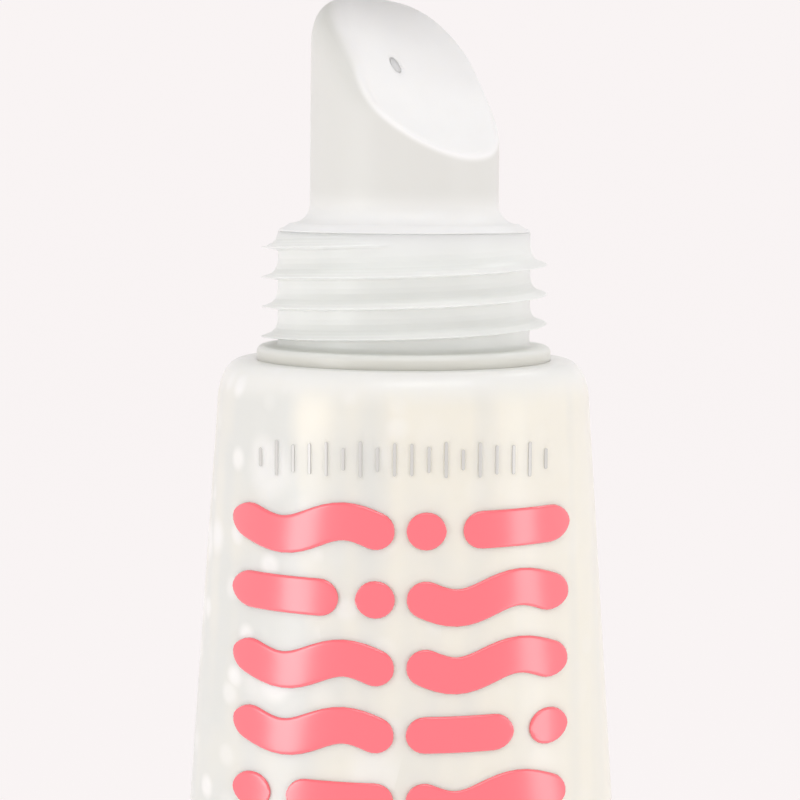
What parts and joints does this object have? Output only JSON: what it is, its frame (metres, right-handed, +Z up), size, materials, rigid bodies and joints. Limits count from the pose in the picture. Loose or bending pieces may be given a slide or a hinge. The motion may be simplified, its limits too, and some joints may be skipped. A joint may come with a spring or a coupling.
{
  "type": "lip gloss tube",
  "caption": "Soft squeeze tube with a crimped end, threaded neck and slanted applicator tip, filled with gloss, and a double-walled screw cap.",
  "frame": {"origin": "middle of the crimp's bottom edge, on the tube's axis", "axes": "+Z up along the tube's axis towards the applicator tip, X across the crimp, -Y towards the printed front"},
  "size_m": [0.0294, 0.019, 0.1324],
  "materials": {
    "sleeve_plastic": "clear soft polyethylene, glossy, slightly hazy",
    "head_plastic": "natural milky polyethylene, satin",
    "tip_plastic": "natural milky low-density polyethylene, smooth",
    "gloss_gel": "clear pearly gel with small bubbles",
    "cap_plastic": "polished white polypropylene",
    "liner_plastic": "moulded white polypropylene",
    "gasket_foam": "white expanded polyethylene",
    "print_ink": "raised glossy coral pink ink"
  },
  "bodies": {
    "tube": {"tube_sleeve": "sleeve_plastic", "tube_head": "head_plastic", "applicator_tip": "tip_plastic", "gloss_fill": "gloss_gel"},
    "gasket": {"cap_gasket": "gasket_foam"},
    "cap": {"cap_shell": "cap_plastic", "cap_liner": "liner_plastic"}
  },
  "joints": [
    {"name": "cap_lift", "type": "slide", "parent": "tube", "child": "gasket", "axis": [0, 0, 1], "range_m": [-0.0315, 0]},
    {"name": "cap_turn", "type": "hinge", "parent": "gasket", "child": "cap", "pos_m": [0, 0, 0.12], "axis": [0, 0, 1], "range_deg": [-7560, 0]}
  ],
  "couplings": [
    {"joint": "cap_lift", "follows": "cap_turn", "m_per_rad": 0.00023873}
  ]
}
